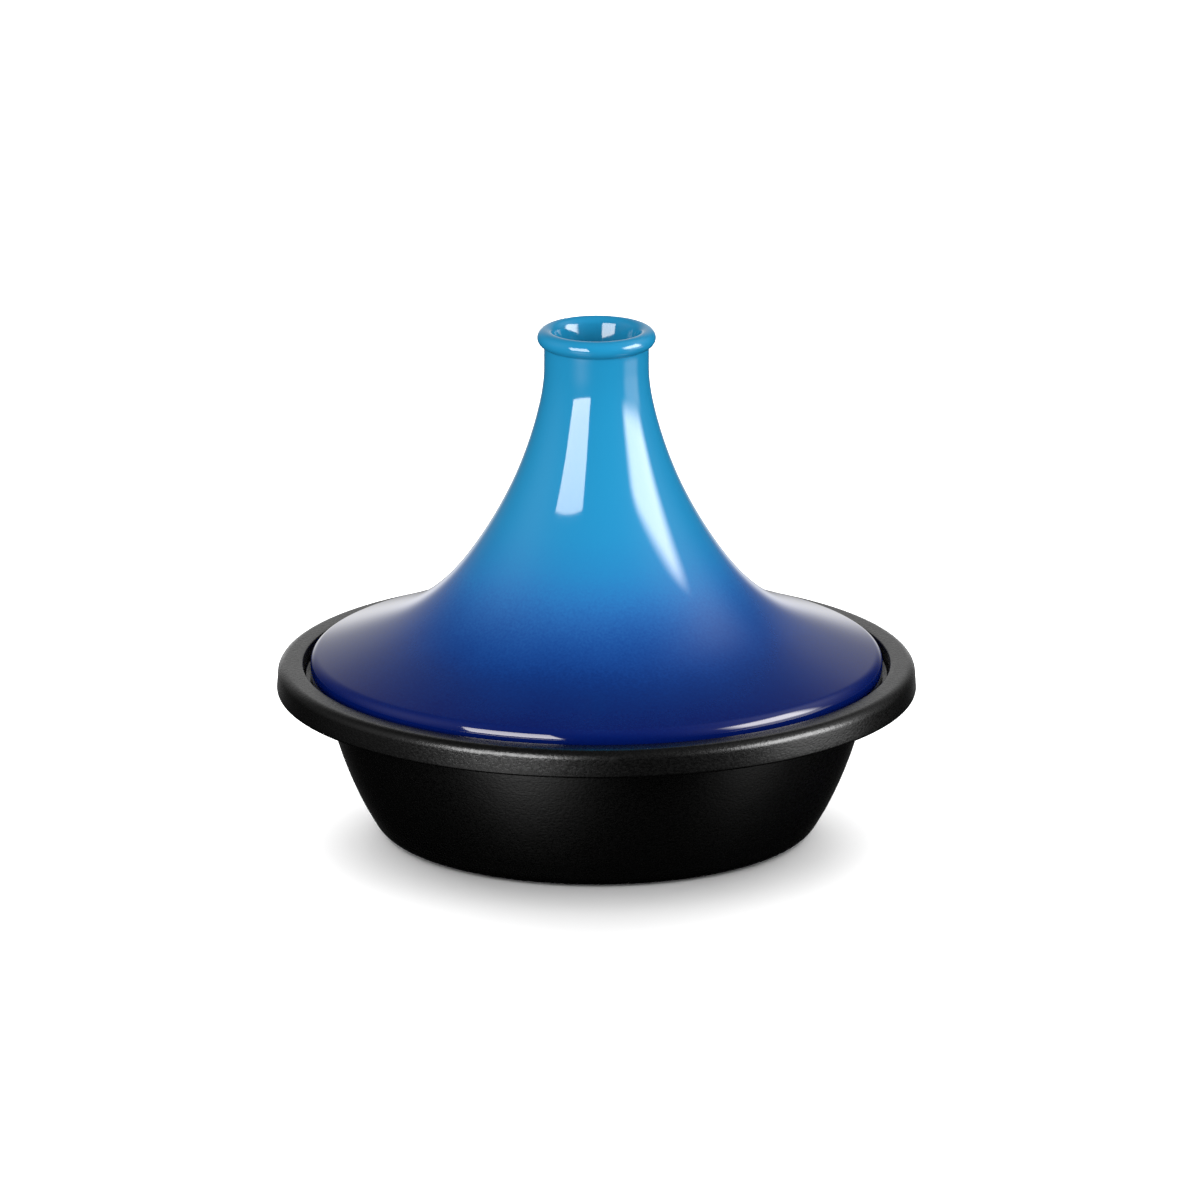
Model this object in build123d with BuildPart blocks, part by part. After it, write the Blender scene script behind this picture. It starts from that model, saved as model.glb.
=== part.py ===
"""Tagine pot: a cast-iron base with a stepped rim, and a tall stoneware lid that lifts off it.

Millimetres, +Z up. The origin is the centre of the base's underside, on the table, and both
pieces are turned about the Z axis from one half section each.
"""

import os
from math import cos, hypot, radians, sin, sqrt, tan

from build123d import *

os.makedirs("parts", exist_ok=True)

# Base: overall sizes
rim_diameter = 270.0  # across the foot of the rim band, before its edge is rounded
base_height = 71.8  # table to the flat top of the rim
# Base: rim band, and the sunk seat inside it
rim_width = 11.0  # recess edge to the outside of the band
rim_depth = 11.5  # height of the band
rim_taper = 0.8  # how far the band's face leans in from foot to top
rim_shoulder = 4.0  # rounding of the band's top outer edge
rim_edge = 1.2  # rounding of the band's other edges
recess_depth = 5.7  # flat top of the rim down to the seat
recess_draft = 1.0  # how far the recess wall leans in towards the seat
recess_edge = 0.5  # rounding where the flat top meets the recess wall
seat_width = 12.0  # foot of the recess wall to the mouth of the pan
mouth_edge = 2.0  # rounding of the pan's mouth
# Base: pan
wall_flare = 22.2  # how far the wall runs in from the rim's underside to the table
wall_bow = 3.75  # how far the wall bulges out from a straight line
pan_wall = 4.5  # thickness of the wall
pan_floor = 5.0  # thickness of the floor
heel_radius = 9.8  # rounding from the wall to the underside
corner_radius = 16.0  # rounding from the floor to the wall, inside
under_rim_radius = 6.0  # fillet between the wall and the rim's underside
foot_inset = 23.8  # unrounded heel in to the hollow of the underside, which leaves a flat ring
foot_hollow = 1.2  # depth of that hollow
foot_hollow_slope = 2.4  # width of the slope at its edge

# Lid: overall sizes
lid_height = 150.9  # underside of the lid's edge to the top of the neck's roll
neck_radius = 22.1  # outside of the neck
# Lid: fit in the base
side_clearance = 2.3  # lid's edge to the foot of the recess wall
seat_clearance = 0.2  # between the two bare faces when the lid is on
# Lid: brim
brim_height = 9.3  # underside of the lid's edge up to the sharp corner of the brim
brim_slope = 20.5  # degrees that the brim falls towards its edge
brim_shoulder = 5.0  # rounding of that corner
edge_width = 7.0  # bare ring under the lid's edge
edge_radius = 1.5  # rounding of the ring's two sides
edge_fillet = 3.5  # fillet between the ring's inside and the brim's underside
# Lid: neck and walls
lid_wall = 5.5  # thickness of the cone
neck_roll = 3.7  # section radius of the rolled edge
neck_roll_inset = 0.8  # centre of the roll inside the neck's face
neck_length = 8.7  # straight part of the neck below the roll's crease
crease_radius = 0.8  # fillet in that crease
cup_depth = 34.0  # roll's top down to the floor of the hollow neck
cup_slope = 14.0  # degrees that the hollow's wall leans in towards its floor
cup_corner = 6.0  # rounding of that floor
crown_radius = 9.0  # rounding at the top of the room inside the lid
# Lid: the cone's outline between the brim's corner (0, 0) and the foot of the neck (0, 1), each
# point given as its share of the way in from the neck's face and its share of the way up
cone_points = [
    (0.035, 0.820),
    (0.122, 0.620),
    (0.272, 0.400),
    (0.435, 0.235),
    (0.582, 0.142),
    (0.761, 0.073),
]
inner_samples = 14  # points that carry the cone's outline to the inside of the wall
share_precision = 1e-6  # of the outline's length, in the search for the two end points

# Places that both pieces share
rim_radius = rim_diameter / 2
rim_underside = base_height - rim_depth
seat_height = base_height - recess_depth
recess_radius = rim_radius - rim_width
seat_radius = recess_radius - recess_draft
mouth_radius = seat_radius - seat_width


def corner(shape, radius_out, height):
    """The corner of a half section nearest to a radius and a height."""
    return shape.vertices().sort_by_distance((radius_out, height))[0]


# ---------------------------------------------------------------- base
# The pan's wall is an arc bulging outwards between the table and the seat's level.
wall_top = (mouth_radius + pan_wall, seat_height)
wall_run = wall_flare * seat_height / rim_underside
wall_chord = hypot(wall_run, seat_height)
arc_radius = (wall_chord**2 / 4 + wall_bow**2) / (2 * wall_bow)
arc_centre_out = wall_top[0] - wall_run / 2 - (arc_radius - wall_bow) * seat_height / wall_chord
arc_centre_up = seat_height / 2 + (arc_radius - wall_bow) * wall_run / wall_chord


def wall_radius(height, inset=0.0):
    """Radius of the pan's wall at a height, a depth inside its outer face."""
    return arc_centre_out + sqrt((arc_radius - inset) ** 2 - (height - arc_centre_up) ** 2)


def wall_arc(low, high, inset=0.0):
    """The wall's arc in the half section between two heights."""
    return ThreePointArc(
        (wall_radius(low, inset), low),
        (wall_radius((low + high) / 2, inset), (low + high) / 2),
        (wall_radius(high, inset), high),
    )


foot_radius = wall_radius(0)
ring_inside = foot_radius - foot_inset
band_top_radius = rim_radius - rim_taper
cavity_top = base_height + recess_depth

with BuildPart() as base:
    with BuildSketch(Plane.XZ) as base_section:
        with BuildLine():
            Polyline((0, base_height), (0, 0), (foot_radius, 0))
            wall_arc(0, rim_underside)
            Polyline(
                (wall_radius(rim_underside), rim_underside),
                (rim_radius, rim_underside),
                (band_top_radius, base_height),
                (0, base_height),
            )
        make_face()
        fillet(corner(base_section, foot_radius, 0), heel_radius)
        fillet(corner(base_section, wall_radius(rim_underside), rim_underside), under_rim_radius)
        fillet(corner(base_section, rim_radius, rim_underside), rim_edge)
        fillet(corner(base_section, band_top_radius, base_height), rim_shoulder)
        # the sunk seat
        with BuildLine():
            Polyline(
                (0, seat_height),
                (seat_radius, seat_height),
                (recess_radius, base_height),
                (recess_radius, cavity_top),
                (0, cavity_top),
                close=True,
            )
        make_face(mode=Mode.SUBTRACT)
        fillet(corner(base_section, recess_radius, base_height), recess_edge)
        fillet(corner(base_section, seat_radius, seat_height), rim_edge)
        # the inside of the pan
        with BuildLine():
            Polyline((0, seat_height), (0, pan_floor), (wall_radius(pan_floor, pan_wall), pan_floor))
            wall_arc(pan_floor, seat_height, pan_wall)
            Line((wall_radius(seat_height, pan_wall), seat_height), (0, seat_height))
        make_face(mode=Mode.SUBTRACT)
        fillet(corner(base_section, wall_radius(pan_floor, pan_wall), pan_floor), corner_radius)
        fillet(corner(base_section, mouth_radius, seat_height), mouth_edge)
        # the hollow of the underside
        with BuildLine():
            Polyline(
                (0, 0),
                (ring_inside, 0),
                (ring_inside - foot_hollow_slope, foot_hollow),
                (0, foot_hollow),
                close=True,
            )
        make_face(mode=Mode.SUBTRACT)
    revolve(axis=Axis.Z)

# ---------------------------------------------------------------- lid
edge_bottom = seat_height + seat_clearance
lid_top = edge_bottom + lid_height
brim_radius = seat_radius - side_clearance
brim_corner = edge_bottom + brim_height
roll_radius = neck_radius - neck_roll_inset
roll_height = lid_top - neck_roll
crease_height = roll_height - sqrt(neck_roll**2 - neck_roll_inset**2)
neck_foot = crease_height - neck_length
cup_floor = lid_top - cup_depth
# the hollow's wall is a cone that meets the roll without a corner
cup_top_radius = roll_radius - neck_roll * cos(radians(cup_slope))
cup_top = roll_height + neck_roll * sin(radians(cup_slope))
cup_floor_radius = cup_top_radius - (cup_top - cup_floor) * tan(radians(cup_slope))
room_top = cup_floor - lid_wall
edge_inside = brim_radius - edge_width

cone_outline = Spline(
    (neck_radius, neck_foot),
    *[
        (
            neck_radius + share_out * (brim_radius - neck_radius),
            brim_corner + share_up * (neck_foot - brim_corner),
        )
        for share_out, share_up in cone_points
    ],
    (brim_radius, brim_corner),
    tangents=[(0, -1), (cos(radians(brim_slope)), -sin(radians(brim_slope)))],
)


def under_cone(share):
    """The point of the lid's inner face under a share of the cone's outline, neck to brim."""
    place = cone_outline.position_at(share)
    along = cone_outline.tangent_at(share)
    return (place.X + along.Y * lid_wall, place.Y - along.X * lid_wall)


def share_where(value, wanted):
    """The share of the cone's outline where a falling measure of its inner face is as wanted."""
    low = 0.0
    high = 1.0
    while high - low > share_precision:
        middle = (low + high) / 2
        if value(under_cone(middle)) > wanted:
            low = middle
        else:
            high = middle
    return low


first_share = share_where(lambda point: point[1], room_top)
last_share = share_where(lambda point: -point[0], -edge_inside)
inner_points = [
    under_cone(first_share + (last_share - first_share) * step / (inner_samples - 1))
    for step in range(inner_samples)
]

with BuildPart() as lid:
    with BuildSketch(Plane.XZ) as lid_section:
        with BuildLine():
            Polyline((0, cup_top), (0, edge_bottom), (brim_radius, edge_bottom))
            Line((brim_radius, edge_bottom), (brim_radius, brim_corner))
            add(cone_outline)
            Polyline((neck_radius, neck_foot), (neck_radius, roll_height), (roll_radius, cup_top))
            Line((roll_radius, cup_top), (0, cup_top))
        make_face()
        fillet(corner(lid_section, brim_radius, brim_corner), brim_shoulder)
        fillet(corner(lid_section, brim_radius, edge_bottom), edge_radius)
        # the rolled edge of the neck
        with Locations((roll_radius, roll_height)):
            Circle(neck_roll)
        fillet(corner(lid_section, neck_radius, crease_height), crease_radius)
        # the hollow of the neck
        with BuildLine():
            Polyline(
                (0, cup_floor),
                (cup_floor_radius, cup_floor),
                (cup_top_radius, cup_top),
                (cup_top_radius, lid_top),
                (0, lid_top),
                close=True,
            )
        make_face(mode=Mode.SUBTRACT)
        fillet(corner(lid_section, cup_floor_radius, cup_floor), cup_corner)
        # the room inside the lid
        with BuildLine():
            Polyline(inner_points[-1], (edge_inside, edge_bottom), (0, edge_bottom), (0, room_top))
            Line((0, room_top), inner_points[0])
            Spline(*inner_points)
        make_face(mode=Mode.SUBTRACT)
        fillet(corner(lid_section, *inner_points[0]), crown_radius)
        fillet(corner(lid_section, *inner_points[-1]), edge_fillet)
        fillet(corner(lid_section, edge_inside, edge_bottom), edge_radius)
    revolve(axis=Axis.Z)

for piece, name in ((base, "base"), (lid, "lid")):
    piece.part.label = name
    export_step(piece.part, f"parts/{name}.step")
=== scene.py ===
"""Looks of a tagine pot: black enamelled iron base, blue glazed stoneware lid, and a plain white studio."""

import bpy
import numpy as np
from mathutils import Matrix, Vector


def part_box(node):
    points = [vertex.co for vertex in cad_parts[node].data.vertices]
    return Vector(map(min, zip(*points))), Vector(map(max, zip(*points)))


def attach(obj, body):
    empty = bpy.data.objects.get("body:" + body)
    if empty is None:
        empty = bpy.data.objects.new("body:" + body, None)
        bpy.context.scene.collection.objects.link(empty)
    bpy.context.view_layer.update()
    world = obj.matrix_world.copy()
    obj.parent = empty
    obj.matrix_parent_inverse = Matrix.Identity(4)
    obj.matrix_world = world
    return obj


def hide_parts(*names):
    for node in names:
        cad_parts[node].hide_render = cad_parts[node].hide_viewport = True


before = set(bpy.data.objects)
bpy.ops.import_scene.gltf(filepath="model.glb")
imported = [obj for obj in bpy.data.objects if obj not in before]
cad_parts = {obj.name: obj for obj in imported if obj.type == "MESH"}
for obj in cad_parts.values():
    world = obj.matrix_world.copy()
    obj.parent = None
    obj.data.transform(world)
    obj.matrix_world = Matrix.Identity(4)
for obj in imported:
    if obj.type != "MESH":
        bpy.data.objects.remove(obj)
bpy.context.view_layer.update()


# ------------------------------------------------------------------ base
# The base is one iron casting: a flared pan with a stepped rim band, whose sunk seat takes the lid.
# It was cast in sand, ground at the rim and foot, and coated all over in matt black enamel, which
# leaves a fine pebbled skin on the wall and a smoother one where a hand or a pot touches it. The
# material below gives the whole base the same pebbled skin.
base_low, base_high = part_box("base")
rim_radius = 0.135
rim_width = 0.011
rim_depth = 0.0115
rim_taper = 0.0008
rim_shoulder = 0.004
rim_edge = 0.0012
recess_depth = 0.0057
recess_draft = 0.001
recess_edge = 0.0005
seat_width = 0.012
mouth_edge = 0.002
wall_flare = 0.0222
wall_bow = 0.00375
pan_wall = 0.0045
pan_floor = 0.005
heel_radius = 0.0098
corner_radius = 0.016
under_rim_radius = 0.006
foot_inset = 0.0238
foot_hollow = 0.0012
foot_hollow_slope = 0.0024

rim_top = base_high.z
rim_foot = rim_top - rim_depth
seat_height = rim_top - recess_depth
recess_radius = rim_radius - rim_width
seat_radius = recess_radius - recess_draft
mouth_radius = seat_radius - seat_width


def arc(centre, radius, start, end, steps):
    """Points on a circle, centre + radius * (cos a, sin a), with a going evenly from start to end."""
    angle = np.linspace(start, end, steps)
    return np.column_stack([centre[0] + radius * np.cos(angle), centre[1] + radius * np.sin(angle)])


def rounded(before, corner, after, radius, steps=12):
    """The arc of a radius that touches the two lines meeting at a corner, from the first to the second.

    Its ends lie radius * tan(turn / 2) from the corner, and its centre is radius off both lines."""
    into = np.subtract(corner, before) / np.linalg.norm(np.subtract(corner, before))
    out = np.subtract(after, corner) / np.linalg.norm(np.subtract(after, corner))
    turn = np.arctan2(into[0] * out[1] - into[1] * out[0], into @ out)
    side = np.array([-into[1], into[0]]) * np.sign(turn)
    first = np.array(corner) - into * radius * np.tan(abs(turn) / 2)
    centre = first + side * radius
    start = np.arctan2(-side[1], -side[0])
    return arc(centre, radius, start, start + turn, steps)


def filled(points, step):
    """The same broken line with its long runs divided evenly, so that no run is longer than a step."""
    points = np.asarray(points, float)
    length = np.hypot(*np.diff(points, axis=0).T)
    count = np.maximum(np.ceil(length / step).astype(int), 1)
    share = np.concatenate([i + np.arange(n) / n for i, n in enumerate(count)] + [[len(length)]])
    index = np.arange(len(points))
    return np.column_stack([np.interp(share, index, points[:, k]) for k in (0, 1)])


def along(outline):
    """Distance along a broken line at each of its points."""
    return np.concatenate([[0], np.cumsum(np.hypot(*np.diff(outline, axis=0).T))])


def turned(name, outline, sectors):
    """A closed surface of revolution: point (r, z) at angle a goes to (r cos a, r sin a, z).

    The outline runs from the axis back to the axis, with the material on its right. Each end is one
    point, closed with triangles. The attribute "path" holds the distance along the outline."""
    angle = np.arange(sectors) * 2 * np.pi / sectors
    ring = outline[1:-1]
    rows = len(ring)
    across = np.outer(ring[:, 0], np.cos(angle))
    away = np.outer(ring[:, 0], np.sin(angle))
    up = np.repeat(ring[:, 1:], sectors, 1)
    grid = np.stack([across, away, up], axis=-1).reshape(-1, 3)
    points = np.vstack([grid, [0, 0, outline[0, 1]], [0, 0, outline[-1, 1]]])
    here = np.arange(sectors)
    ahead = (here + 1) % sectors
    row = np.arange(rows - 1)[:, None] * sectors
    below = row + sectors
    quads = np.stack([row + here, below + here, below + ahead, row + ahead], -1).reshape(-1, 4)
    last = (rows - 1) * sectors
    fans = np.vstack([
        np.column_stack([np.full(sectors, len(grid)), here, ahead]),
        np.column_stack([last + ahead, last + here, np.full(sectors, len(grid) + 1)]),
    ])
    mesh = bpy.data.meshes.new(name)
    mesh.from_pydata(points.tolist(), [], quads.tolist() + fans.tolist())
    path = along(outline)
    values = np.concatenate([np.repeat(path[1:-1], sectors), path[[0, -1]]])
    mesh.attributes.new("path", "FLOAT", "POINT").data.foreach_set("value", values.astype(np.float32))
    mesh.polygons.foreach_set("use_smooth", np.ones(len(mesh.polygons), bool))
    mesh.update()
    piece = bpy.data.objects.new(name, mesh)
    bpy.context.scene.collection.objects.link(piece)
    return piece


# The pan's wall is an arc that bows out from a straight line between the table and the seat.
wall_run = wall_flare * seat_height / rim_foot
wall_chord = np.hypot(wall_run, seat_height)
bow_radius = (wall_chord**2 / 4 + wall_bow**2) / (2 * wall_bow)
bow_centre = (
    mouth_radius + pan_wall - wall_run / 2 - (bow_radius - wall_bow) * seat_height / wall_chord,
    seat_height / 2 + (bow_radius - wall_bow) * wall_run / wall_chord,
)


def wall_at(height, inset=0.0):
    """Point of the pan's wall at a height, a depth inside its outer face."""
    out = bow_centre[0] + np.sqrt((bow_radius - inset) ** 2 - (height - bow_centre[1]) ** 2)
    return np.column_stack([out, height]) if np.ndim(height) else (out, height)


def wall_run_between(low, high, inset, steps):
    """Points up the wall between two heights."""
    return wall_at(np.linspace(low, high, steps), inset)


heel = wall_at(0.0)
under_rim = wall_at(rim_foot)
ring_inside = heel[0] - foot_inset
ring_edge = (ring_inside, 0)
hollow_rim = (ring_inside - foot_hollow_slope, foot_hollow)
inner_corner = wall_at(pan_floor, pan_wall)
mouth = wall_at(seat_height, pan_wall)
band_foot = (rim_radius, rim_foot)
band_top = (rim_radius - rim_taper, rim_top)
recess_top = (recess_radius, rim_top)
seat_foot = (seat_radius, seat_height)
hollow_edge = 0.001
wall_low, wall_high = heel_radius * 1.2, rim_foot - under_rim_radius * 1.2
inner_low, inner_high = pan_floor + corner_radius * 0.9, seat_height - mouth_edge * 1.2
base_outline = np.vstack([
    [(0, pan_floor)],
    rounded((0, pan_floor), inner_corner, wall_at(inner_low, pan_wall), corner_radius, 20),
    wall_run_between(inner_low, inner_high, pan_wall, 30),
    rounded(wall_at(inner_high, pan_wall), mouth, seat_foot, mouth_edge, 10),
    rounded(mouth, seat_foot, recess_top, rim_edge, 8),
    rounded(seat_foot, recess_top, (rim_radius, rim_top), recess_edge, 6),
    rounded(recess_top, band_top, band_foot, rim_shoulder, 16),
    rounded(band_top, band_foot, (0, rim_foot), rim_edge, 10),
    rounded(band_foot, under_rim, wall_at(wall_high), under_rim_radius, 12),
    wall_run_between(wall_high, wall_low, 0, 32),
    rounded(wall_at(wall_low), heel, (0, 0), heel_radius, 16),
    rounded(heel, ring_edge, hollow_rim, hollow_edge, 4),
    rounded(ring_edge, hollow_rim, (0, foot_hollow), hollow_edge, 4),
    [(0, foot_hollow)],
])
longest_run = 0.0025
base = turned("enamelled_base", filled(base_outline, longest_run), sectors=320)


def socket_of(group, name, direction, kind):
    """A named socket on a node group's interface."""
    return group.interface.new_socket(name=name, in_out=direction, socket_type=kind)


def place(tree, kind, **settings):
    """A node with its properties set by name."""
    made = tree.nodes.new(kind)
    for key, value in settings.items():
        setattr(made, key, value)
    return made


def feed(tree, target, **sources):
    """Sets a node's inputs by name, a space written as an underscore: a socket is linked, a value is set."""
    for key, source in sources.items():
        entry = target.inputs[key.replace("_", " ")]
        if isinstance(source, bpy.types.NodeSocket):
            tree.links.new(source, entry)
        else:
            entry.default_value = source
    return target


def sums(tree, operation, first, second=0.0, third=0.0):
    """A Math node's result from sockets or numbers."""
    made = place(tree, "ShaderNodeMath", operation=operation)
    for entry, source in zip(made.inputs, (first, second, third)):
        if isinstance(source, bpy.types.NodeSocket):
            tree.links.new(source, entry)
        else:
            entry.default_value = source
    return made.outputs[0]


def ranged(tree, value, low, high, to_low=0.0, to_high=1.0):
    """Value carried from one range to another, smooth at both ends and held outside it."""
    made = place(tree, "ShaderNodeMapRange", interpolation_type="SMOOTHSTEP")
    feed(tree, made, Value=value, From_Min=low, From_Max=high, To_Min=to_low, To_Max=to_high)
    return made.outputs["Result"]


def mixed(tree, share, first, second):
    """Colour between two colours or colour sockets."""
    made = place(tree, "ShaderNodeMix", data_type="RGBA")
    for entry, source in ((made.inputs[0], share), (made.inputs[6], first), (made.inputs[7], second)):
        if isinstance(source, bpy.types.NodeSocket):
            tree.links.new(source, entry)
        else:
            entry.default_value = source
    return made.outputs[2]


def new_material(name):
    """An empty material: its tree, its Principled shader and its Object coordinates."""
    material = bpy.data.materials.new(name)
    material.use_nodes = True
    tree = material.node_tree
    shader = tree.nodes["Principled BSDF"]
    place_of = place(tree, "ShaderNodeTexCoord").outputs["Object"]
    return material, tree, shader, place_of


# Pebbled skin, in both finishes: round dimples of a size, and a long slow unevenness under them.
skin = bpy.data.node_groups.new("pebbled_skin", "ShaderNodeTree")
socket_of(skin, "Place", "INPUT", "NodeSocketVector")
socket_of(skin, "Grain Size", "INPUT", "NodeSocketFloat")
socket_of(skin, "Grain Depth", "INPUT", "NodeSocketFloat")
socket_of(skin, "Wave Size", "INPUT", "NodeSocketFloat")
socket_of(skin, "Wave Depth", "INPUT", "NodeSocketFloat")
socket_of(skin, "Normal", "OUTPUT", "NodeSocketVector")
socket_of(skin, "Grain", "OUTPUT", "NodeSocketFloat")
given = skin.nodes.new("NodeGroupInput").outputs
grain = place(skin, "ShaderNodeTexNoise")
feed(skin, grain, Vector=given["Place"], Scale=sums(skin, "DIVIDE", 1.0, given["Grain Size"]), Detail=2.5)
wave = place(skin, "ShaderNodeTexNoise")
feed(skin, wave, Vector=given["Place"], Scale=sums(skin, "DIVIDE", 1.0, given["Wave Size"]), Detail=1.0)
relief = sums(
    skin,
    "ADD",
    sums(skin, "MULTIPLY", grain.outputs[0], given["Grain Depth"]),
    sums(skin, "MULTIPLY", wave.outputs[0], given["Wave Depth"]),
)
bump = place(skin, "ShaderNodeBump")
feed(skin, bump, Strength=1.0, Distance=1.0, Height=relief)
skin_out = skin.nodes.new("NodeGroupOutput")
feed(skin, skin_out, Normal=bump.outputs[0], Grain=grain.outputs[0])


def skin_on(tree, place_of, grain_size, grain_depth, wave_size, wave_depth):
    """The pebbled skin with its own sizes, in metres."""
    made = place(tree, "ShaderNodeGroup", node_tree=skin)
    feed(
        tree,
        made,
        Place=place_of,
        Grain_Size=grain_size,
        Grain_Depth=grain_depth,
        Wave_Size=wave_size,
        Wave_Depth=wave_depth,
    )
    return made.outputs


enamel, tree, shader, place_of = new_material("black_enamel")
# the sand's grain lies along the wall: each pebble is wider than it is tall
lying = place(tree, "ShaderNodeMapping")
feed(tree, lying, Vector=place_of, Scale=(0.8, 0.8, 1.35))
pebbles = skin_on(
    tree,
    lying.outputs[0],
    grain_size=0.0011,
    grain_depth=0.000085,
    wave_size=0.011,
    wave_depth=0.00006,
)
feed(
    tree,
    shader,
    Base_Color=mixed(tree, pebbles["Grain"], (0.0003, 0.0003, 0.0003, 1), (0.0006, 0.0006, 0.0006, 1)),
    Roughness=ranged(tree, pebbles["Grain"], 0.3, 0.7, 0.24, 0.32),
    Normal=pebbles["Normal"],
)
base.data.materials.append(enamel)
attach(base, "base")
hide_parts("base")


# ------------------------------------------------------------------ lid
# The lid is one stoneware cone, pressed, fired and glazed. Azure glaze was poured over the neck and
# cobalt sprayed up from the brim, so the blues cross in a fine speckle. The edge that stands on the
# base is left bare, and the inside has a plain cream glaze.
lid_low, lid_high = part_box("lid")
neck_radius = 0.0221
brim_height = 0.0093
brim_slope = np.radians(20.5)
brim_shoulder = 0.005
edge_width = 0.007
edge_radius = 0.0015
edge_fillet = 0.0035
lid_wall = 0.0055
neck_roll = 0.0037
neck_roll_inset = 0.0008
neck_length = 0.0087
crease_radius = 0.0008
cup_depth = 0.034
cup_slope = np.radians(14)
cup_corner = 0.006
crown_radius = 0.009
side_clearance = 0.0023
cone_points = [
    (0.035, 0.820),
    (0.122, 0.620),
    (0.272, 0.400),
    (0.435, 0.235),
    (0.582, 0.142),
    (0.761, 0.073),
]

edge_bottom = lid_low.z
brim_radius = seat_radius - side_clearance
brim_corner = np.array([brim_radius, edge_bottom + brim_height])
roll = np.array([neck_radius - neck_roll_inset, lid_high.z - neck_roll])
crease_drop = np.sqrt(neck_roll**2 - neck_roll_inset**2)
neck_foot = np.array([neck_radius, roll[1] - crease_drop - neck_length])
cup_floor = lid_high.z - cup_depth
cup_top = roll + neck_roll * np.array([-np.cos(cup_slope), np.sin(cup_slope)])
cup_foot = np.array([cup_top[0] - (cup_top[1] - cup_floor) * np.tan(cup_slope), cup_floor])
room_top = cup_floor - lid_wall
edge_inside = brim_radius - edge_width


def smooth_curve(knots, first_way, last_way, steps):
    """A cubic through the knots with even bending, and the way that it heads at each point.

    Each span is a Hermite cubic in distance from knot to knot. The headings at the inner knots are
    those that leave no jump in curvature, which is one linear system."""
    knots = np.asarray(knots, float)
    span = np.hypot(*np.diff(knots, axis=0).T)
    count = len(knots)
    system = np.eye(count)
    wanted = np.zeros((count, 2))
    wanted[0], wanted[-1] = first_way, last_way
    chord = np.diff(knots, axis=0) / span[:, None]
    for i in range(1, count - 1):
        system[i, i - 1 : i + 2] = span[i], 2 * (span[i - 1] + span[i]), span[i - 1]
        wanted[i] = 3 * (span[i] * chord[i - 1] + span[i - 1] * chord[i])
    ways = np.linalg.solve(system, wanted)
    start = np.concatenate([[0], np.cumsum(span)])
    distance = np.linspace(0, start[-1], steps)
    i = np.clip(np.searchsorted(start, distance, "right") - 1, 0, count - 2)
    size = span[i][:, None]
    t = (distance - start[i])[:, None] / size
    point = (
        (2 * t**3 - 3 * t**2 + 1) * knots[i]
        + (t**3 - 2 * t**2 + t) * size * ways[i]
        + (3 * t**2 - 2 * t**3) * knots[i + 1]
        + (t**3 - t**2) * size * ways[i + 1]
    )
    heading = np.gradient(point, axis=0)
    return point, heading / np.hypot(*heading.T)[:, None]


cone, cone_way = smooth_curve(
    [neck_foot]
    + [
        neck_foot + (brim_corner - neck_foot) * (share_out, 1 - share_up)
        for share_out, share_up in cone_points
    ]
    + [brim_corner],
    (0, -1),
    (np.cos(brim_slope), -np.sin(brim_slope)),
    400,
)
under_cone = cone + lid_wall * np.column_stack([cone_way[:, 1], -cone_way[:, 0]])
inside = under_cone[(under_cone[:, 1] < room_top) & (under_cone[:, 0] < edge_inside)][::-1]
shoulder_reach = brim_shoulder * np.tan((np.pi / 2 - brim_slope) / 2)
outside = cone[np.hypot(*(cone - brim_corner).T) > shoulder_reach]
crease_side = neck_roll_inset + crease_radius
crease_angle = np.arccos(crease_side / (neck_roll + crease_radius))
crease = roll + (neck_roll + crease_radius) * np.array([np.cos(crease_angle), -np.sin(crease_angle)])
edge_out = (brim_radius, edge_bottom)
edge_in = (edge_inside, edge_bottom)
# points of the inner face that its two rounded ends take up, at the brim and at the crown
brim_end, crown_end = 12, 26
room_edge = (inside[-1, 0], room_top)
inner_foot = (edge_inside, inside[0, 1])
lid_parts = [
    [(0, cup_floor)],
    rounded((0, cup_floor), cup_foot, cup_top, cup_corner, 12),
    arc(roll, neck_roll, np.pi - cup_slope, -crease_angle, 40),
    arc(crease, crease_radius, np.pi - crease_angle, np.pi, 8),
    outside[::4],
    rounded(outside[-1], brim_corner, edge_out, brim_shoulder, 18),
    rounded(brim_corner, edge_out, edge_in, edge_radius, 8),
    rounded(edge_out, edge_in, inner_foot, edge_radius, 8),
    rounded(edge_in, inner_foot, inside[brim_end], edge_fillet, 10),
    inside[brim_end + 2 : -crown_end : 4],
    rounded(inside[-crown_end], room_edge, (0, room_top), crown_radius, 14),
    [(0, room_top)],
]
lid_outline = filled(np.vstack(lid_parts), longest_run)
lid = turned("glazed_lid", lid_outline, sectors=300)

# Distances along the outline where the blue glaze stops under the brim and the cream one starts.
lengths = along(np.vstack(lid_parts))
rows_before = np.cumsum([len(part) for part in lid_parts])
blue_end = lengths[rows_before[5] + 3]
cream_start = lengths[rows_before[7] + 2]

glaze, tree, shader, place_of = new_material("blue_glaze")
height = place(tree, "ShaderNodeSeparateXYZ")
feed(tree, height, Vector=place_of)
cloud = place(tree, "ShaderNodeTexNoise")
feed(tree, cloud, Vector=place_of, Scale=28.0, Detail=3.0)
speckle = place(tree, "ShaderNodeTexNoise")
feed(tree, speckle, Vector=place_of, Scale=900.0, Detail=2.0)
drift = sums(tree, "MULTIPLY_ADD", cloud.outputs[0], 0.006, -0.003)
spatter = sums(tree, "MULTIPLY_ADD", speckle.outputs[0], 0.010, -0.005)
level = sums(tree, "ADD", sums(tree, "ADD", height.outputs["Z"], drift), spatter)
glaze_low, glaze_high = float(edge_bottom), float(lid_high.z)
share = place(tree, "ShaderNodeMapRange")
feed(tree, share, Value=level, From_Min=glaze_low, From_Max=glaze_high)
blues = place(tree, "ShaderNodeValToRGB")
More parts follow.
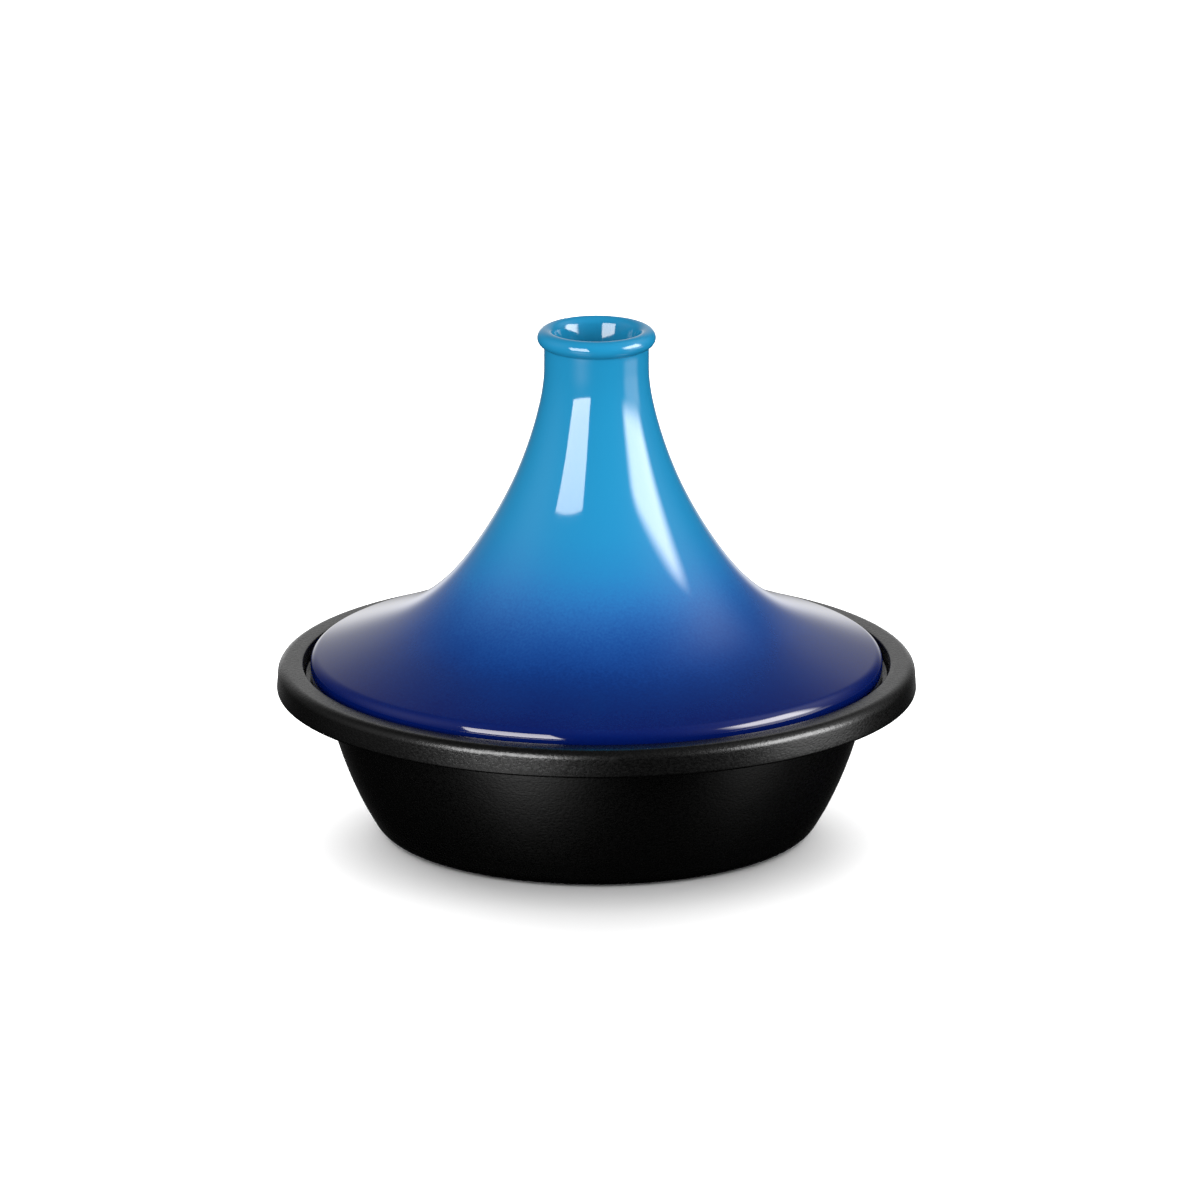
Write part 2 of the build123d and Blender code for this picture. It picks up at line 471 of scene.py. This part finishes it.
blues.color_ramp.interpolation = "B_SPLINE"
# height over the rim in millimetres, and the glaze's colour there
glaze_colours = [
    (-6, (0.0004, 0.0032, 0.0434)),
    (4, (0.0006, 0.0042, 0.0505)),
    (9, (0.0009, 0.0088, 0.0659)),
    (14, (0.0011, 0.0120, 0.0771)),
    (20, (0.0017, 0.0203, 0.1108)),
    (28, (0.0042, 0.0343, 0.1437)),
    (36, (0.0084, 0.0574, 0.1892)),
    (44, (0.0101, 0.0862, 0.2313)),
    (53, (0.0091, 0.1093, 0.2488)),
    (66, (0.0084, 0.1297, 0.2628)),
    (90, (0.0088, 0.1388, 0.2663)),
    (145, (0.0070, 0.1331, 0.2523)),
]
stops = blues.color_ramp.elements
while len(stops) < len(glaze_colours):
    stops.new(0.5)
for stop, (over_rim, colour) in zip(stops, glaze_colours):
    stop.position = (rim_top + over_rim / 1000 - glaze_low) / (glaze_high - glaze_low)
    stop.color = (*colour, 1)
feed(tree, blues, Fac=share.outputs["Result"])
path = place(tree, "ShaderNodeAttribute", attribute_name="path").outputs["Fac"]
ragged = place(tree, "ShaderNodeTexNoise")
feed(tree, ragged, Vector=place_of, Scale=140.0, Detail=3.0)
ragged_path = sums(tree, "ADD", path, sums(tree, "MULTIPLY_ADD", ragged.outputs[0], 0.0012, -0.0006))
off_blue = ranged(tree, ragged_path, blue_end - 0.0002, blue_end + 0.0002)
off_bare = ranged(tree, ragged_path, cream_start - 0.0002, cream_start + 0.0002)
clay = mixed(tree, speckle.outputs[0], (0.42, 0.30, 0.19, 1), (0.56, 0.44, 0.31, 1))
cream = mixed(tree, cloud.outputs[0], (0.66, 0.60, 0.49, 1), (0.72, 0.66, 0.55, 1))
bare = sums(tree, "SUBTRACT", off_blue, off_bare)
ripples = skin_on(
    tree,
    place_of,
    grain_size=0.006,
    grain_depth=0.000004,
    wave_size=0.03,
    wave_depth=0.00003,
)
feed(
    tree,
    shader,
    Base_Color=mixed(tree, off_bare, mixed(tree, off_blue, blues.outputs[0], clay), cream),
    Roughness=sums(tree, "MULTIPLY_ADD", bare, 0.7, 0.06),
    Normal=ripples["Normal"],
)
# the clear glaze over the colour mirrors a little warm
shader.inputs["Specular Tint"].default_value = (1.0, 0.96, 0.93, 1)
lid.data.materials.append(glaze)
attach(lid, "lid")
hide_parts("lid")


# ------------------------------------------------------------------ studio
# A white table that fades into white air and has lamps of its own, mostly from behind. Two tall soft
# boxes light the pot from the front, and a pale backdrop shows only as a sheen on the brim.
eye_height = np.radians(16.2)
eye_distance = 7.17


def heading_to(azimuth, elevation):
    """Unit vector away from the pot, (sin a cos e, -cos a cos e, sin e).

    The azimuth a goes in degrees from the front to the right, and the elevation e up from level."""
    a, e = np.radians(azimuth), np.radians(elevation)
    return np.array([np.sin(a) * np.cos(e), -np.cos(a) * np.cos(e), np.sin(e)])


pot_middle = np.array([0, 0, rim_top])
neck_middle = np.array([0, 0, rim_top + 0.09])


def soft_box(name, corners, distance, foot_power, head_power, blur=0.0):
    """A four-cornered sheet of light, its corners given as headings from the lid's neck.

    Its power goes evenly from foot to head, and it fades out over a share of its width at every edge."""
    mesh = bpy.data.meshes.new(name)
    points = [neck_middle + heading_to(*corner) * distance for corner in corners]
    mesh.from_pydata([tuple(p) for p in points], [], [(0, 1, 2, 3)])
    mesh.uv_layers.new(name="face").data.foreach_set("uv", [0, 0, 1, 0, 1, 1, 0, 1])
    sheet = bpy.data.objects.new(name, mesh)
    bpy.context.scene.collection.objects.link(sheet)
    material = bpy.data.materials.new(name)
    material.use_nodes = True
    tree = material.node_tree
    tree.nodes.clear()
    face = place(tree, "ShaderNodeSeparateXYZ")
    feed(tree, face, Vector=place(tree, "ShaderNodeTexCoord").outputs["UV"])
    power = sums(tree, "MULTIPLY_ADD", face.outputs["Y"], head_power - foot_power, foot_power)
    if blur:
        for way in ("X", "Y"):
            power = sums(tree, "MULTIPLY", power, ranged(tree, face.outputs[way], 0.0, blur))
            power = sums(tree, "MULTIPLY", power, ranged(tree, face.outputs[way], 1.0 - blur, 1.0, 1.0, 0.0))
    glow = feed(tree, place(tree, "ShaderNodeEmission"), Strength=power)
    thin = place(tree, "ShaderNodeAddShader")
    tree.links.new(glow.outputs[0], thin.inputs[0])
    tree.links.new(place(tree, "ShaderNodeBsdfTransparent").outputs[0], thin.inputs[1])
    feed(tree, place(tree, "ShaderNodeOutputMaterial"), Surface=thin.outputs[0])
    mesh.materials.append(material)
    sheet.visible_camera = False
    return sheet


box_distance = 1.5
left_box = soft_box(
    "left_soft_box",
    [(-49, 0), (-12.3, -0.5), (-20, 32.7), (-57.5, 28.7)],
    box_distance,
    foot_power=14.5,
    head_power=10.5,
)
right_box = soft_box(
    "right_soft_box",
    [(51, -2), (99, -2), (101, 38), (47, 28)],
    box_distance,
    foot_power=14.5,
    head_power=14.5,
    blur=0.28,
)
# the light that the right box throws back off the table under it
right_skirt = soft_box(
    "right_skirt",
    [(56, -16), (108, -16), (104, 3), (56, 3)],
    box_distance,
    foot_power=2.0,
    head_power=2.5,
    blur=0.3,
)

floor_mesh = bpy.data.meshes.new("table")
floor_half = 3.0
floor_corners = [(x * floor_half, y * floor_half, 0) for x, y in ((-1, -1), (1, -1), (1, 1), (-1, 1))]
floor_mesh.from_pydata(floor_corners, [], [(0, 1, 2, 3)])
floor = bpy.data.objects.new("table", floor_mesh)
bpy.context.scene.collection.objects.link(floor)
paper_gap = 0.0002  # under the foot ring, so that the two faces don't lie in one plane
floor.location.z = base_low.z - paper_gap
floor.visible_glossy = False
floor.visible_diffuse = False
paper = bpy.data.materials.new("white_paper")
paper.use_nodes = True
tree = paper.node_tree
tree.nodes.clear()
matt = place(tree, "ShaderNodeBsdfDiffuse")
feed(tree, matt, Color=(0.95, 0.95, 0.95, 1))
clear = place(tree, "ShaderNodeBsdfTransparent")
distance = place(tree, "ShaderNodeVectorMath", operation="LENGTH")
tree.links.new(place(tree, "ShaderNodeTexCoord").outputs["Object"], distance.inputs[0])
blend = place(tree, "ShaderNodeMixShader")
fade_start, fade_end = 0.9, 1.6
feed(tree, blend, Fac=ranged(tree, distance.outputs["Value"], fade_start, fade_end))
tree.links.new(matt.outputs[0], blend.inputs[1])
tree.links.new(clear.outputs[0], blend.inputs[2])
feed(tree, place(tree, "ShaderNodeOutputMaterial"), Surface=blend.outputs[0])
floor_mesh.materials.append(paper)

# azimuth and elevation of each table lamp, and how bright its face is
table_lights = [(156, 26, 4.6), (-156, 26, 4.6), (0, 60, 1.3)]
table_lamp_distance = 2.5
table_lamps = []
for azimuth, elevation, radiance in table_lights:
    lamp = bpy.data.lights.new("table_lamp", "AREA")
    lamp.shape = "RECTANGLE"
    lamp.size = 3.0
    lamp.size_y = 2.0
    lamp.energy = radiance * np.pi * lamp.size * lamp.size_y
    table_lamp = bpy.data.objects.new("table_lamp", lamp)
    table_lamp.location = table_lamp_distance * heading_to(azimuth, elevation)
    table_lamp.rotation_euler = (np.radians(elevation - 90), 0, np.radians(azimuth - 180))
    table_lamp.visible_camera = False
    table_lamp.visible_glossy = False
    bpy.context.scene.collection.objects.link(table_lamp)
    table_lamps.append(table_lamp)
table_only = bpy.data.collections.new("table_only")
table_only.objects.link(floor)
for table_lamp in table_lamps:
    table_lamp.light_linking.receiver_collection = table_only
pot_only = bpy.data.collections.new("pot_only")
pot_only.objects.link(base)
pot_only.objects.link(lid)
left_box.light_linking.receiver_collection = pot_only
right_box.light_linking.receiver_collection = pot_only
right_skirt.light_linking.receiver_collection = pot_only

world = bpy.data.worlds.new("studio_air")
bpy.context.scene.world = world
world.use_nodes = True
world.cycles.sampling_method = "NONE"
tree = world.node_tree
tree.nodes.clear()
heading = place(tree, "ShaderNodeTexCoord").outputs["Generated"]


def glow_towards(azimuth, elevation, width, strength):
    """Light that is strongest in one heading and falls off as a bell over a width in degrees."""
    towards = place(tree, "ShaderNodeVectorMath", operation="DOT_PRODUCT")
    tree.links.new(heading, towards.inputs[0])
    towards.inputs[1].default_value = heading_to(azimuth, elevation)
    tightness = 1 / np.radians(width) ** 2
    fall = sums(tree, "MULTIPLY_ADD", towards.outputs["Value"], tightness, -tightness)
    return sums(tree, "MULTIPLY", sums(tree, "EXPONENT", fall), strength)


# azimuth, elevation, width and strength of the pale places in the room that the pot mirrors
studio_glows = [
    (172, -5, 6, 0.9),
    (-171, -4, 6, 1.0),
    (180, 8, 13, 0.5),
    (163, 25, 9, 0.27),
    (115, 44, 13, 0.70),
    (80, 22, 20, 0.80),
    (-85, 25, 20, 0.40),
    (-165, 20, 16, 0.35),
    (0, 84, 30, 0.08),
    (-34, -27, 11, 2.0),
    (75, -27, 9, 0.6),
]
total = 0.0
for glow in studio_glows:
    total = sums(tree, "ADD", total, glow_towards(*glow))
way = place(tree, "ShaderNodeSeparateXYZ")
feed(tree, way, Vector=heading)
air_level, air_overhead = 0.86, 0.23
ambient = sums(tree, "MULTIPLY_ADD", way.outputs["Z"], air_overhead, air_level)
light_path = place(tree, "ShaderNodeLightPath")
seen = place(tree, "ShaderNodeBackground")
feed(tree, seen, Strength=1.0, Color=(1, 1, 1, 1))
mirrored = place(tree, "ShaderNodeBackground")
feed(tree, mirrored, Strength=total, Color=(1, 1, 1, 1))
soaked = place(tree, "ShaderNodeBackground")
feed(tree, soaked, Strength=ambient, Color=(1, 1, 1, 1))
indirect = place(tree, "ShaderNodeMixShader")
tree.links.new(light_path.outputs["Is Diffuse Ray"], indirect.inputs[0])
tree.links.new(mirrored.outputs[0], indirect.inputs[1])
tree.links.new(soaked.outputs[0], indirect.inputs[2])
direct = place(tree, "ShaderNodeMixShader")
tree.links.new(light_path.outputs["Is Camera Ray"], direct.inputs[0])
tree.links.new(indirect.outputs[0], direct.inputs[1])
tree.links.new(seen.outputs[0], direct.inputs[2])
feed(tree, place(tree, "ShaderNodeOutputWorld"), Surface=direct.outputs[0])

camera_data = bpy.data.cameras.new("camera")
camera_data.sensor_width = 36.0
picture_width = 0.50625  # metres across the picture, at the pot
camera_data.lens = camera_data.sensor_width * eye_distance / picture_width
camera_data.clip_end = 60.0
camera = bpy.data.objects.new("camera", camera_data)
bpy.context.scene.collection.objects.link(camera)
back = Vector((0, -np.cos(eye_height), np.sin(eye_height)))
camera.location = Vector(pot_middle) + back * eye_distance
camera.rotation_euler = (np.pi / 2 - eye_height, 0, 0)
# the pot stands a little off the middle of the picture
camera_data.shift_x = 0.0029
camera_data.shift_y = 0.0513
bpy.context.scene.camera = camera
bpy.context.scene.view_settings.view_transform = "Standard"
